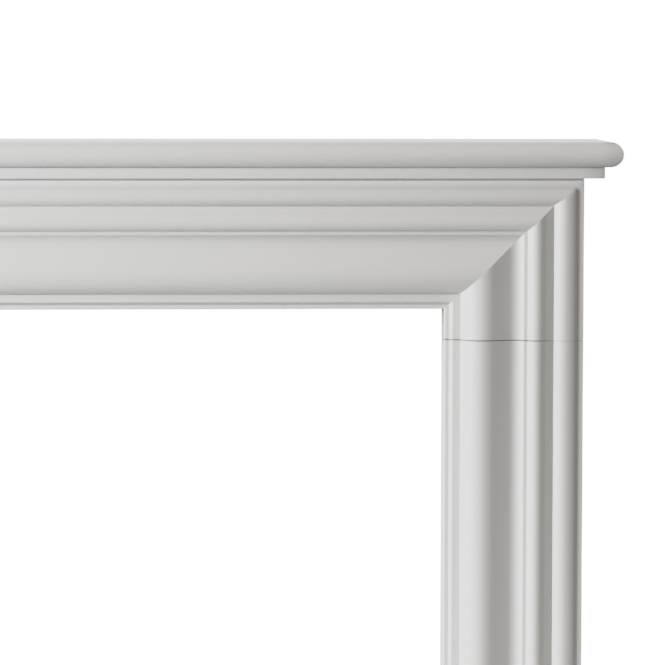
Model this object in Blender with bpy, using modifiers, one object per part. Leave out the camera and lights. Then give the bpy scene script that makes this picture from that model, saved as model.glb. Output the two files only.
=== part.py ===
"""Bolection fireplace surround: a mantel shelf over one deep moulding that frames a fire opening.

Metres, +Z up. +X runs along the shelf, the front faces -Y, and the flat backs stand on the wall plane.
The origin is on the floor, under the middle of the surround's length and depth.
"""

import math
from collections import namedtuple

import bmesh
import bpy

# Fire opening
OPENING_WIDTH = 0.914
OPENING_HEIGHT = 0.914

# Widths of the moulding's members across a leg, from the fire opening outwards
INNER_FLAT_WIDTH = 0.0067
STEP_WIDTH = 0.0036
SECOND_FLAT_WIDTH = 0.0107
ROLL_RISE_WIDTH = 0.0275
ROLL_TURN_WIDTH = 0.0135
ROLL_BACK_WIDTH = 0.0220
COVE_TURN_WIDTH = 0.0075
COVE_RISE_WIDTH = 0.0105
FILLET_WIDTH = 0.0052
MIDDLE_BEAD_RISE_WIDTH = 0.0118
MIDDLE_BEAD_TURN_WIDTH = 0.0065
MIDDLE_BEAD_BACK_WIDTH = 0.0048
MIDDLE_BEAD_TAIL_WIDTH = 0.0109
OUTER_BEAD_RISE_WIDTH = 0.0148
OUTER_BEAD_FALL_WIDTH = 0.0130
QUIRK_WIDTH = 0.0056
OUTER_FILLET_WIDTH = 0.0054

# Slopes of the members in degrees from level: a rise is steep at its foot, a back falls away outwards
STEP_SLOPE = 60.0
ROUND_FOOT_SLOPE = 78.0
ROLL_BACK_SLOPE = 20.0
COVE_LIP_SLOPE = 60.0
MIDDLE_BEAD_BACK_SLOPE = 24.0
MIDDLE_BEAD_TAIL_SLOPE = 16.0
VALLEY_SLOPE = 30.0
OUTER_BEAD_FOOT_SLOPE = 64.0
OUTER_BEAD_BACK_SLOPE = 30.0
QUIRK_FALL_SLOPE = 66.0
QUIRK_RISE_SLOPE = 20.0
OUTER_FILLET_TILT = 3.0

# Step from the quirk up to the outer fillet
OUTER_FILLET_STEP = 0.0012

# Thickness of the moulding's inner edge
INNER_EDGE_THICKNESS = 0.035

# Rebate behind the inner edge, all round the opening, that takes the fire's slips
SLIP_REBATE_WIDTH = 0.025
SLIP_REBATE_DEPTH = 0.080

# Over the opening the members are narrower than on the legs, with a taller outer fillet
HEADER_WIDTH_RATIO = 0.96
HEADER_OUTER_BEAD_RATIO = 0.77
HEADER_FILLET_WIDTH = 0.0084

# The legs stop this far below the top of the opening, where the header's stubs stand on them
LEG_JOINT_DROP = 0.0395

# Flat bed slab under the shelf, with a shallow neck below it that stands back from the header's front
BED_THICKNESS = 0.0136
BED_PAST_LEG = 0.0252
NECK_HEIGHT = 0.0024
NECK_SETBACK = 0.0020

# Mantel shelf, which runs past the bed on the front and both ends
SHELF_THICKNESS = 0.033
SHELF_DEPTH = 0.178
SHELF_PAST_BED = 0.0217
NOSE_FLAT = 0.0004

# Dry joint between two pieces
JOINT_GAP = 0.0003

# Facets on each curved member, and on each quarter of the shelf's nose
CURVE_STEPS = 8
NOSE_STEPS = 10
SMOOTH_ANGLE = math.radians(24)
MERGE = 0.0001

WALL_Y = SHELF_DEPTH / 2
LEG_TOP = OPENING_HEIGHT - LEG_JOINT_DROP

Member = namedtuple("Member", "width first_slope last_slope")

# From the opening outwards. A member is a circular arc between its two slopes, or straight if they are equal
MEMBERS = (
    Member(INNER_FLAT_WIDTH, 0.0, 0.0),
    Member(STEP_WIDTH, -STEP_SLOPE, -STEP_SLOPE),
    Member(SECOND_FLAT_WIDTH, 0.0, 0.0),
    Member(ROLL_RISE_WIDTH, -ROUND_FOOT_SLOPE, 0.0),
    Member(ROLL_TURN_WIDTH, 0.0, ROLL_BACK_SLOPE),
    Member(ROLL_BACK_WIDTH, ROLL_BACK_SLOPE, ROLL_BACK_SLOPE),
    Member(COVE_TURN_WIDTH, ROLL_BACK_SLOPE, 0.0),
    Member(COVE_RISE_WIDTH, 0.0, -COVE_LIP_SLOPE),
    Member(FILLET_WIDTH, 0.0, 0.0),
    Member(MIDDLE_BEAD_RISE_WIDTH, -ROUND_FOOT_SLOPE, 0.0),
    Member(MIDDLE_BEAD_TURN_WIDTH, 0.0, MIDDLE_BEAD_BACK_SLOPE),
    Member(MIDDLE_BEAD_BACK_WIDTH, MIDDLE_BEAD_BACK_SLOPE, MIDDLE_BEAD_BACK_SLOPE),
    Member(MIDDLE_BEAD_TAIL_WIDTH, MIDDLE_BEAD_TAIL_SLOPE, VALLEY_SLOPE),
    Member(OUTER_BEAD_RISE_WIDTH, -OUTER_BEAD_FOOT_SLOPE, 0.0),
    Member(OUTER_BEAD_FALL_WIDTH, 0.0, OUTER_BEAD_BACK_SLOPE),
    Member(QUIRK_WIDTH, QUIRK_FALL_SLOPE, -QUIRK_RISE_SLOPE),
)

OUTER_FILLET_START = sum(member.width for member in MEMBERS)
VALLEY_START = OUTER_FILLET_START - QUIRK_WIDTH - OUTER_BEAD_FALL_WIDTH - OUTER_BEAD_RISE_WIDTH
LEG_WIDTH = OUTER_FILLET_START + OUTER_FILLET_WIDTH


def member_points(member, across, depth):
    """Points along one member that starts this far across and this far out from the wall plane."""
    first = math.radians(member.first_slope)
    last = math.radians(member.last_slope)
    if first == last:
        return [(across + member.width, depth - member.width * math.tan(first))]
    radius = member.width / (math.sin(last) - math.sin(first))
    points = []
    for step in range(1, CURVE_STEPS + 1):
        slope = first + (last - first) * step / CURVE_STEPS
        wide = radius * (math.sin(slope) - math.sin(first))
        drop = radius * (math.cos(first) - math.cos(slope))
        points.append((across + wide, depth - drop))
    return points


def moulding_front():
    """Points (across, depth) of the moulding's front, from the opening's edge to the outer edge.

    Depth is measured out from the wall plane.
    """
    points = [(0.0, SLIP_REBATE_DEPTH + INNER_EDGE_THICKNESS)]
    for member in MEMBERS:
        points += member_points(member, *points[-1])
    fillet_depth = points[-1][1] + OUTER_FILLET_STEP
    points.append((OUTER_FILLET_START, fillet_depth))
    points.append((LEG_WIDTH, fillet_depth - OUTER_FILLET_WIDTH * math.tan(math.radians(OUTER_FILLET_TILT))))
    return points


def leg_section():
    """Points (across, depth) of a leg, from the opening's edge round the front and the back."""
    points = [(0.0, SLIP_REBATE_DEPTH)] + moulding_front()
    points.append((LEG_WIDTH, 0.0))
    points.append((SLIP_REBATE_WIDTH, 0.0))
    points.append((SLIP_REBATE_WIDTH, SLIP_REBATE_DEPTH))
    return points


def header_rise(across):
    """Height above the opening of the header's moulding where a leg's moulding is this far across."""
    rise = min(across, VALLEY_START) * HEADER_WIDTH_RATIO
    rise += min(max(across - VALLEY_START, 0.0), OUTER_FILLET_START - VALLEY_START) * HEADER_OUTER_BEAD_RATIO
    rise += max(across - OUTER_FILLET_START, 0.0) * HEADER_FILLET_WIDTH / OUTER_FILLET_WIDTH
    return rise


HEADER_TOP = OPENING_HEIGHT + header_rise(LEG_WIDTH)
BED_BOTTOM = HEADER_TOP + JOINT_GAP + NECK_HEIGHT


def stone(name, colour, roughness):
    """Principled material of one piece."""
    material = bpy.data.materials.new(name)
    material.use_nodes = True
    shader = material.node_tree.nodes["Principled BSDF"]
    shader.inputs["Base Color"].default_value = (*colour, 1.0)
    shader.inputs["Roughness"].default_value = roughness
    shader.inputs["Metallic"].default_value = 0.0
    return material


def add_piece(collection, name, shape, material):
    """Put a finished bmesh in the collection as a named object."""
    bmesh.ops.recalc_face_normals(shape, faces=shape.faces)
    mesh = bpy.data.meshes.new(name)
    shape.to_mesh(mesh)
    shape.free()
    mesh.materials.append(material)
    mesh.shade_smooth()
    mesh.set_sharp_from_angle(angle=SMOOTH_ANGLE)
    piece = bpy.data.objects.new(name, mesh)
    collection.objects.link(piece)
    return piece


def extrude_to(shape, face, corners, places):
    """Extrude a face so that each of its corners runs to its own place.

    Returns the new face and its corners, in the order of the old ones.
    """
    grown = bmesh.ops.extrude_face_region(shape, geom=[face])["geom"]
    new_corners = {part for part in grown if isinstance(part, bmesh.types.BMVert)}
    ends = []
    for corner, place in zip(corners, places):
        end = next(other for edge in corner.link_edges if (other := edge.other_vert(corner)) in new_corners)
        end.co = place
        ends.append(end)
    return next(part for part in grown if isinstance(part, bmesh.types.BMFace)), ends


def make_leg(collection, name, side, material):
    """One leg, from the floor to the joint; side is -1 for the left and 1 for the right."""
    shape = bmesh.new()
    outline = [(side * (OPENING_WIDTH / 2 + across), WALL_Y - depth) for across, depth in leg_section()]
    corners = [shape.verts.new((x, y, 0.0)) for x, y in outline]
    foot = shape.faces.new(corners)
    extrude_to(shape, foot, corners, [(x, y, LEG_TOP) for x, y in outline])
    return add_piece(collection, name, shape, material)


def make_header(collection, name, material):
    """The moulding over the opening with its mitred corners and leg stubs, as a mirrored half."""
    shape = bmesh.new()
    middle_places = []
    mitre_places = []
    stub_places = []
    for across, depth in leg_section():
        x = OPENING_WIDTH / 2 + across
        y = WALL_Y - depth
        z = OPENING_HEIGHT + header_rise(across)
        middle_places.append((0.0, y, z))
        mitre_places.append((x, y, z))
        stub_places.append((x, y, LEG_TOP + JOINT_GAP))
    corners = [shape.verts.new(place) for place in middle_places]
    middle = shape.faces.new(corners)
    mitre, mitre_corners = extrude_to(shape, middle, corners, mitre_places)
    extrude_to(shape, mitre, mitre_corners, stub_places)
    bmesh.ops.delete(shape, geom=[middle, mitre], context="FACES_ONLY")
    header = add_piece(collection, name, shape, material)
    mirror = header.modifiers.new("both_halves", "MIRROR")
    mirror.use_axis[0] = True
    mirror.use_clip = True
    mirror.merge_threshold = MERGE
    return header


def slab(low, high):
    """A square-edged slab between two opposite corners."""
    shape = bmesh.new()
    bmesh.ops.create_cube(shape, size=1.0)
    for corner in shape.verts:
        for axis in range(3):
            corner.co[axis] = high[axis] if corner.co[axis] > 0 else low[axis]
    return shape


def round_edges(piece, width, segments, is_rounded):
    """Bevel the edges of a slab that is_rounded picks from their two end points."""
    weights = piece.data.attributes.new("bevel_weight_edge", "FLOAT", "EDGE")
    for edge in piece.data.edges:
        ends = [piece.data.vertices[index].co for index in edge.vertices]
        weights.data[edge.index].value = 1.0 if is_rounded(*ends) else 0.0
    bevel = piece.modifiers.new("rounding", "BEVEL")
    bevel.limit_method = "WEIGHT"
    bevel.width = width
    bevel.segments = segments


def off_the_wall(start, end):
    """True for a level edge along the front or an end, which doesn't lie on the wall."""
    level = abs(start.z - end.z) < MERGE
    return level and min(start.y, end.y) < WALL_Y - MERGE


def underside(shape):
    """The faces of the bed's underside."""
    return [face for face in shape.faces if face.calc_center_median().z < BED_BOTTOM + MERGE]


def make_bed(collection, name, material):
    """The flat slab between the header and the shelf, with its neck grown down from its underside."""
    neck_half = OPENING_WIDTH / 2 + LEG_WIDTH
    neck_front = WALL_Y - moulding_front()[-1][1] + NECK_SETBACK
    half = neck_half + BED_PAST_LEG
    front = -WALL_Y + SHELF_PAST_BED
    shape = slab((-half, front, BED_BOTTOM), (half, WALL_Y, BED_BOTTOM + BED_THICKNESS))
    cuts = (
        ((-neck_half, 0.0, 0.0), (1.0, 0.0, 0.0)),
        ((neck_half, 0.0, 0.0), (1.0, 0.0, 0.0)),
        ((0.0, neck_front, 0.0), (0.0, 1.0, 0.0)),
    )
    for place, normal in cuts:
        faces = underside(shape)
        edges = [edge for edge in shape.edges if any(face in faces for face in edge.link_faces)]
        bmesh.ops.bisect_plane(shape, geom=faces + edges, dist=MERGE, plane_co=place, plane_no=normal)
    centres = [(face, face.calc_center_median()) for face in underside(shape)]
    neck = next(face for face, centre in centres if abs(centre.x) < neck_half and centre.y > neck_front)
    grown = bmesh.ops.extrude_face_region(shape, geom=[neck])["geom"]
    lower = [part for part in grown if isinstance(part, bmesh.types.BMVert)]
    bmesh.ops.translate(shape, verts=lower, vec=(0.0, 0.0, -NECK_HEIGHT))
    bmesh.ops.delete(shape, geom=[neck], context="FACES_ONLY")
    return add_piece(collection, name, shape, material)


def make_shelf(collection, name, material):
    """The mantel shelf, with a half-round nose on its front and both ends, mitred at the corners."""
    half = OPENING_WIDTH / 2 + LEG_WIDTH + BED_PAST_LEG + SHELF_PAST_BED
    bottom = BED_BOTTOM + BED_THICKNESS + JOINT_GAP
    top = bottom + SHELF_THICKNESS
    shelf = add_piece(collection, name, slab((-half, -WALL_Y, bottom), (half, WALL_Y, top)), material)
    round_edges(shelf, (SHELF_THICKNESS - NOSE_FLAT) / 2, NOSE_STEPS, off_the_wall)
    return shelf


def main():
    """Clear the scene and build every piece of the surround."""
    for old in list(bpy.data.objects):
        bpy.data.objects.remove(old, do_unlink=True)
    surround = bpy.data.collections.new("fireplace_surround")
    bpy.context.scene.collection.children.link(surround)
    make_leg(surround, "left_leg", -1, stone("leg_stone_left", (0.80, 0.80, 0.79), 0.38))
    make_leg(surround, "right_leg", 1, stone("leg_stone_right", (0.80, 0.80, 0.79), 0.38))
    make_header(surround, "header", stone("header_stone", (0.80, 0.80, 0.79), 0.38))
    make_bed(surround, "shelf_bed", stone("bed_stone", (0.81, 0.81, 0.80), 0.38))
    make_shelf(surround, "mantel_shelf", stone("shelf_stone", (0.82, 0.82, 0.81), 0.34))


main()
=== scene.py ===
"""Satin stone bolection fireplace surround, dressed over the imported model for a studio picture.

Metres, +Z up. The front faces -Y, the backs stand on the wall plane, and the floor is at Z = 0.
Each sub-assembly is a class that builds its own pieces and dresses them in a procedural stone finish.
"""
import logging
import math
from dataclasses import dataclass, field
from enum import Enum

import bmesh
import bpy
from mathutils import Matrix, Vector, noise


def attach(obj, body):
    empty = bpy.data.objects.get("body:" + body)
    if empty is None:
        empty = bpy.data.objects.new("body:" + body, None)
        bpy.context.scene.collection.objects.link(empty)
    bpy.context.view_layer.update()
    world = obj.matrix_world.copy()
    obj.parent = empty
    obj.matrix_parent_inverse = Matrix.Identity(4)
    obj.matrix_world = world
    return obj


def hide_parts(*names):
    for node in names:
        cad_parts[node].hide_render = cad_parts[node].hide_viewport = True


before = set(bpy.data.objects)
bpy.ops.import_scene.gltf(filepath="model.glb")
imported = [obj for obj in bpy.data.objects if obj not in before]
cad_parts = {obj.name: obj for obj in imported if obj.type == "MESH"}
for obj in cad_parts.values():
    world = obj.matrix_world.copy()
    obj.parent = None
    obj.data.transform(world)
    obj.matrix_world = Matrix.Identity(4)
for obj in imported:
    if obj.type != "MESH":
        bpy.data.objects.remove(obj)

Colour = tuple[float, float, float]
Place = tuple[float, float, float]
Part = bmesh.types.BMVert | bmesh.types.BMEdge | bmesh.types.BMFace
Socket = bpy.types.NodeSocket

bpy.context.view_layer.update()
PHOTO_SIDE = 665
MERGE = 1e-6
SMOOTH_ANGLE = math.radians(40)
LEAST_ARC_STEPS = 6

log = logging.getLogger("surround")


class Side(Enum):
    """The two ends of the surround, as the sign of X."""

    LEFT = -1
    RIGHT = 1


class Slot(Enum):
    """The record's material slots."""

    MOULDING = "moulding_stone"
    BED = "bed_stone"
    SHELF = "shelf_stone"


@dataclass(frozen=True)
class Member:
    """One member of the moulding, from the opening outwards.

    It is an arc between two slopes in degrees, or a straight where they are equal. Outwards along it, a slope
    below zero leads away from the wall and one above zero back towards it.
    """

    name: str
    width: float
    first_slope: float
    last_slope: float

    def points(self, across: float, depth: float, spacing: float) -> list[tuple[float, float]]:
        """Points along the member after its start.

        Args:
            across: distance of its start from the opening's edge.
            depth: distance of its start out from the wall plane.
            spacing: longest step between two points.

        Returns:
            Pairs of distance across and depth.
        """
        first = math.radians(self.first_slope)
        last = math.radians(self.last_slope)
        if first == last:
            return [(across + self.width, depth - self.width * math.tan(first))]
        radius = self.width / (math.sin(last) - math.sin(first))
        steps = max(LEAST_ARC_STEPS, math.ceil(abs(radius * (last - first)) / spacing))
        found = []
        for step in range(1, steps + 1):
            slope = first + (last - first) * step / steps
            wide = radius * (math.sin(slope) - math.sin(first))
            drop = radius * (math.cos(first) - math.cos(slope))
            found.append((across + wide, depth - drop))
        return found


ROUND_FOOT = -78.0

MEMBERS = (
    Member("arris of the opening", 0.0024, -70.0, 0.0),
    Member("inner flat", 0.0043, 0.0, 0.0),
    Member("step", 0.0036, -60.0, -60.0),
    Member("second flat", 0.0107, 0.0, 0.0),
    Member("rise of the roll", 0.0275, ROUND_FOOT, 0.0),
    Member("turn of the roll", 0.0135, 0.0, 20.0),
    Member("back of the roll", 0.0220, 20.0, 20.0),
    Member("turn of the cove", 0.0075, 20.0, 0.0),
    Member("rise of the cove", 0.0105, 0.0, -60.0),
    Member("fillet", 0.0052, 0.0, 0.0),
    Member("rise of the middle bead", 0.0118, ROUND_FOOT, 0.0),
    Member("turn of the middle bead", 0.0065, 0.0, 24.0),
    Member("back of the middle bead", 0.0048, 24.0, 24.0),
    Member("tail of the middle bead", 0.0109, 16.0, 30.0),
    Member("rise of the outer bead", 0.0148, -64.0, 0.0),
    Member("fall of the outer bead", 0.0130, 0.0, 25.0),
    Member("quirk", 0.0056, 52.0, 0.0),
)


@dataclass(frozen=True)
class SurroundSizes:
    """Sizes of the surround.

    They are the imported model's, but for small reliefs that differ by under 2 mm: the opening's rounded arris,
    the outer bead's flatter back and the quirk that runs out flat beside it, the header's narrower outer
    fillet, the thicker bed slab on its shallower neck, and the legs' joint, which is under 1 mm lower.
    """

    opening_width: float = 0.914
    opening_height: float = 0.914
    members: tuple[Member, ...] = MEMBERS
    members_before_valley: int = 14
    outer_fillet_width: float = 0.0054
    outer_fillet_tilt: float = 3.0
    inner_edge_thickness: float = 0.035
    rebate_width: float = 0.025
    rebate_depth: float = 0.080
    header_ratio: float = 0.96
    header_outer_bead_ratio: float = 0.77
    header_fillet_width: float = 0.0080
    joint_drop: float = 0.0402
    bed_thickness: float = 0.0145
    bed_past_leg: float = 0.0252
    neck_height: float = 0.0019
    neck_setback: float = 0.0007
    shelf_thickness: float = 0.033
    shelf_depth: float = 0.178
    shelf_past_bed: float = 0.0217
    nose_flat: float = 0.0004
    joint_gap: float = 0.0003

    @property
    def wall_y(self) -> float:
        """Y of the wall plane."""
        return self.shelf_depth / 2

    @property
    def valley(self) -> float:
        """Distance across the leg of the valley between its two beads."""
        return sum(member.width for member in self.members[:self.members_before_valley])

    @property
    def outer_fillet(self) -> float:
        """Distance across the leg where the outer fillet starts."""
        return sum(member.width for member in self.members)

    @property
    def leg_width(self) -> float:
        """Whole width of a leg."""
        return self.outer_fillet + self.outer_fillet_width

    @property
    def leg_top(self) -> float:
        """Height of the joint on top of a leg."""
        return self.opening_height - self.joint_drop

    @property
    def header_top(self) -> float:
        """Height of the header's flat top."""
        return self.opening_height + self.rise(self.leg_width)

    @property
    def bed_bottom(self) -> float:
        """Height of the bed slab's underside, on top of its neck."""
        return self.header_top + self.joint_gap + self.neck_height

    def rise(self, across: float) -> float:
        """Height above the opening of the header's moulding.

        Args:
            across: distance from the opening's edge on the leg.

        Returns:
            The height of the same line of the moulding where it runs over the opening.
        """
        bead = min(max(across - self.valley, 0.0), self.outer_fillet - self.valley)
        fillet = max(across - self.outer_fillet, 0.0)
        height = min(across, self.valley) * self.header_ratio
        height += bead * self.header_outer_bead_ratio
        height += fillet * self.header_fillet_width / self.outer_fillet_width
        return height


@dataclass(frozen=True)
class SectionPoint:
    """A point of the moulding's outline.

    It holds its outward normal, and how far it lies in a crease or on an arris, from 0 to 1.
    """

    across: float
    depth: float
    normal_across: float
    normal_depth: float
    crease: float
    arris: float


@dataclass
class MouldingSection:
    """The softened outline of the moulding, which the legs and the header share."""

    sizes: SurroundSizes
    spacing: float = 0.0005
    softening: float = 0.0006
    softening_passes: int = 2
    crease_reach: float = 0.0024
    full_hollow: float = 0.0006
    tolerance: float = 0.000012
    longest: float = 0.006
    most_change: float = 0.2
    points: list[SectionPoint] = field(default_factory=list)

    def build(self) -> "MouldingSection":
        """Make the outline's points from the sizes.

        Returns:
            The section itself.
        """
        dense = self._soften(self._resample(self._corners()))
        self.points = self._thin(self._measure(dense))
        return self

    def front(self) -> list[tuple[float, float]]:
        """The true outline of the front, from the opening's edge to the outer edge.

        Returns:
            Pairs of distance across and depth.
        """
        sizes = self.sizes
        rounding = sizes.members[0].points(0.0, 0.0, self.spacing)[-1][1]
        found = [(0.0, sizes.rebate_depth + sizes.inner_edge_thickness - rounding)]
        for member in sizes.members:
            found += member.points(*found[-1], self.spacing)
        tilt = sizes.outer_fillet_width * math.tan(math.radians(sizes.outer_fillet_tilt))
        found.append((sizes.leg_width, found[-1][1] - tilt))
        return found

    def _corners(self) -> list[Vector]:
        """The true outline, from the opening's edge round the front and the back.

        Returns:
            The corners of the closed outline.
        """
        sizes = self.sizes
        found = [(0.0, sizes.rebate_depth)] + self.front()
        found.append((sizes.leg_width, 0.0))
        found.append((sizes.rebate_width, 0.0))
        found.append((sizes.rebate_width, sizes.rebate_depth))
        return [Vector(pair) for pair in found]

    def _resample(self, outline: list[Vector]) -> list[Vector]:
        """Space points evenly round the closed outline.

        Args:
            outline: its corners.

        Returns:
            The evenly spaced points.
        """
        found = []
        for start, end in zip(outline, outline[1:] + outline[:1]):
            steps = max(1, round((end - start).length / self.spacing))
            found += [start.lerp(end, step / steps) for step in range(steps)]
        return found

    def _soften(self, outline: list[Vector]) -> list[Vector]:
        """Ease the outline's corners by passes of a running mean.

        Args:
            outline: evenly spaced points.

        Returns:
            The eased points.
        """
        reach = max(1, round(self.softening / self.spacing / 2))
        for _ in range(self.softening_passes):
            outline = [self._mean(outline, place, reach) for place in range(len(outline))]
        return outline

    @staticmethod
    def _mean(outline: list[Vector], place: int, reach: int) -> Vector:
        """Mean of the points round one place of the outline.

        Args:
            outline: evenly spaced points.
            place: the middle point's number.
            reach: how many points on each side count.

        Returns:
            The mean point.
        """
        total = Vector((0.0, 0.0))
        for step in range(-reach, reach + 1):
            total += outline[(place + step) % len(outline)]
        return total / (2 * reach + 1)

    def _measure(self, outline: list[Vector]) -> list[SectionPoint]:
        """Find each point's outward normal, and how far it lies in a crease or on an arris.

        Args:
            outline: evenly spaced points.

        Returns:
            The measured points in the same order.
        """
        reach = round(self.crease_reach / self.spacing)
        found = []
        for place, point in enumerate(outline):
            along = outline[(place + 1) % len(outline)] - outline[place - 1]
            normal = Vector((-along.y, along.x)).normalized()
            hollow = (self._mean(outline, place, reach) - point).dot(normal)
            crease = min(max(hollow, 0.0) / self.full_hollow, 1.0)
            arris = min(max(-hollow, 0.0) / self.full_hollow, 1.0)
            found.append(SectionPoint(point.x, point.y, normal.x, normal.y, crease, arris))
        return found

    def _thin(self, dense: list[SectionPoint]) -> list[SectionPoint]:
        """Drop the points that lie on a straight between the kept ones.

        Args:
            dense: the measured points.

        Returns:
            The kept points.
        """
        kept = [dense[0]]
        place = 0
        while place < len(dense) - 1:
            reach = place + 1
            while reach + 1 < len(dense) and self._is_straight(dense, place, reach + 1):
                reach += 1
            kept.append(dense[reach])
            place = reach
        return kept[:-1] if self._distance(kept[-1], kept[0]) < self.spacing else kept

    @staticmethod
    def _distance(one: SectionPoint, other: SectionPoint) -> float:
        """Distance between two points of the outline."""
        return math.hypot(one.across - other.across, one.depth - other.depth)

    def _is_straight(self, dense: list[SectionPoint], start: int, end: int) -> bool:
        """Whether the points between two places lie on the straight between them, alike in crease.

        Args:
            dense: the measured points.
            start: number of the first place.
            end: number of the last place.

        Returns:
            True if the points between can be dropped.
        """
        first, last = dense[start], dense[end]
        length = self._distance(first, last)
        if length > self.longest or length == 0.0:
            return False
        if abs(first.crease - last.crease) + abs(first.arris - last.arris) > self.most_change:
            return False
        for point in dense[start + 1:end]:
            area = (last.across - first.across) * (point.depth - first.depth)
            area -= (last.depth - first.depth) * (point.across - first.across)
            if abs(area) / length > self.tolerance:
                return False
        return True


@dataclass(frozen=True)
class RingPoint:
    """A place on a swept ring, with its dirt and painted shade, and its wear and painted light."""

    place: Vector
    grime_and_shade: float
    wear_and_light: float


Ring = list[RingPoint]


@dataclass(frozen=True)
class Surface:
    """Names of the attributes that the finishes read, and the slow waviness of rubbed stone."""

    # this attribute holds dirt and painted shade: painted shade in creases, a painted shadow on the return
    # round the opening, and darkening along joints
    grime_and_shade: str = "grime_and_shade"
    # this attribute holds real wear on arrises and painted light: a painted glint at the mitre, and painted
    # light on the header's outer fillet and the shelf's top
    wear_and_light: str = "wear_and_light"
    wave_height: float = 0.00016
    wave_scale: float = 7.0
    flat_near_wall: float = 0.002

    def wave(self, place: Vector, from_wall: float) -> float:
        """How far the rubbed face lies inside its true place.

        Args:
            place: point on the true face.
            from_wall: its distance from the wall plane, next to which the stone is flat.

        Returns:
            A distance from zero to the full height of the waves.
        """
        if from_wall <= self.flat_near_wall:
            return 0.0
        return self.wave_height * (0.5 + 0.5 * noise.noise(place * self.wave_scale))


SURFACE = Surface()


@dataclass(frozen=True)
class Piece:
    """A finished piece: a mesh at the origin that rides on the frame and stands for one node."""

    node: str
    name: str
    slot: Slot

    def dress(self, shape: bmesh.types.BMesh, material: bpy.types.Material) -> int:
        """Args:
            shape: the finished bmesh, which is freed.
            material: the finish.

        Returns:
            The number of triangles.
        """
        bmesh.ops.recalc_face_normals(shape, faces=shape.faces)
        mesh = bpy.data.meshes.new(self.name)
        shape.to_mesh(mesh)
        shape.free()
        mesh.materials.append(material)
        mesh.shade_smooth()
        mesh.set_sharp_from_angle(angle=SMOOTH_ANGLE)
        piece = bpy.data.objects.new(self.name, mesh)
        bpy.context.scene.collection.objects.link(piece)
        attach(piece, "root")
        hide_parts(self.node)
        triangles = sum(len(face.vertices) - 2 for face in mesh.polygons)
        log.info("%s: %d triangles", self.name, triangles)
        return triangles


class Sweep:
    """A closed body made by extruding a section's face from ring to ring."""

    def __init__(self) -> None:
        """Start an empty shape with the attributes of the finishes."""
        self.shape = bmesh.new()
        self.grime_and_shade = self.shape.verts.layers.float.new(SURFACE.grime_and_shade)
        self.wear_and_light = self.shape.verts.layers.float.new(SURFACE.wear_and_light)

    def _settle(self, corner: bmesh.types.BMVert, point: RingPoint) -> None:
        """Put a corner at a ring's point.

        Args:
            corner: the corner to move.
            point: its place, its dirt and painted shade, and its wear and painted light.
        """
        corner.co = point.place
        corner[self.grime_and_shade] = point.grime_and_shade
        corner[self.wear_and_light] = point.wear_and_light

    @staticmethod
    def _follower(corner: bmesh.types.BMVert, grown: set[bmesh.types.BMVert]) -> bmesh.types.BMVert:
        """Find the corner that another one was extruded to.

        Args:
            corner: the earlier ring's corner.
            grown: all the corners of the new ring.

        Returns:
            The one of the new corners that shares an edge with it.
        """
        others = (edge.other_vert(corner) for edge in corner.link_edges)
        return next(other for other in others if other in grown)

    def run(self, rings: list[Ring]) -> bmesh.types.BMesh:
        """Extrude through all the rings in turn.

        Args:
            rings: the rings, each with as many points as the first.

        Returns:
            The closed shape.
        """
        corners = [self.shape.verts.new(point.place) for point in rings[0]]
        for corner, point in zip(corners, rings[0]):
            self._settle(corner, point)
        face = self.shape.faces.new(corners)
        inner = []
        for ring in rings[1:]:
            parts = bmesh.ops.extrude_face_region(self.shape, geom=[face])["geom"]
            grown = {part for part in parts if isinstance(part, bmesh.types.BMVert)}
            corners = [self._follower(corner, grown) for corner in corners]
            for corner, point in zip(corners, ring):
                self._settle(corner, point)
            inner.append(face)
            face = next(part for part in parts if isinstance(part, bmesh.types.BMFace))
        bmesh.ops.delete(self.shape, geom=inner[1:], context="FACES_ONLY")
        return self.shape


@dataclass(frozen=True)
class EasedRing:
    """A ring near a piece's end: its distance from the end, the inset of its outline and its darkening."""

    distance: float
    inset: float
    darkening: float

    def at(self, z: float, darkening_share: float = 1.0) -> "Level":
        """The ring as a level at a height, with all or a share of its darkening."""
        return Level(z, self.inset, darkening_share * self.darkening)


@dataclass(frozen=True)
class Level:
    """Height of a ring up a leg, the inset of its outline and its darkening."""

    z: float
    inset: float = 0.0
    darkening: float = 0.0


@dataclass(frozen=True)
class EdgeEasing:
    """How a piece's end is set back from its joint and eased, and how the darkening along the joint, dirt and
    painted shade, fades.
    """

    setback: float = 0.00022
    # the eased rings darken the joint with dirt and painted shade, fading over a few millimetres
    eased: tuple[EasedRing, ...] = (
        EasedRing(0.0, 0.00042, 0.60),
        EasedRing(0.00012, 0.00018, 0.60),
        EasedRing(0.0004, 0.0, 0.36),
    )
    fading: tuple[EasedRing, ...] = (
        EasedRing(0.0012, 0.0, 0.12),
        EasedRing(0.003, 0.0, 0.0),
        EasedRing(0.008, 0.0, 0.0),
    )
    foot_share: float = 0.5

    @property
    def reach(self) -> float:
        """A distance from the end that takes in the eased rings and no others."""
        return self.setback + (self.eased[-1].distance + self.fading[0].distance) / 2

    @property
    def rings(self) -> tuple[EasedRing, ...]:
        """All the rings, from the end inwards."""
        return self.eased + self.fading

    def above_joint(self, joint: float) -> list[Level]:
        """Levels above a joint, upwards.

        Args:
            joint: height of the joint face.

        Returns:
            One level for each ring.
        """
        return [ring.at(joint + (self.setback + ring.distance)) for ring in self.rings]

    def below_joint(self, joint: float) -> list[Level]:
        """Levels below a joint, upwards.

        Args:
            joint: height of the joint face.

        Returns:
            One level for each ring.
        """
        return [ring.at(joint - (self.setback + ring.distance)) for ring in reversed(self.rings)]

    def above_floor(self) -> list[Level]:
        """Levels above the floor, upwards, with less darkening than at a joint.

        Returns:
            One level for each ring.
        """
        return [ring.at(ring.distance, self.foot_share) for ring in self.rings]


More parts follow.
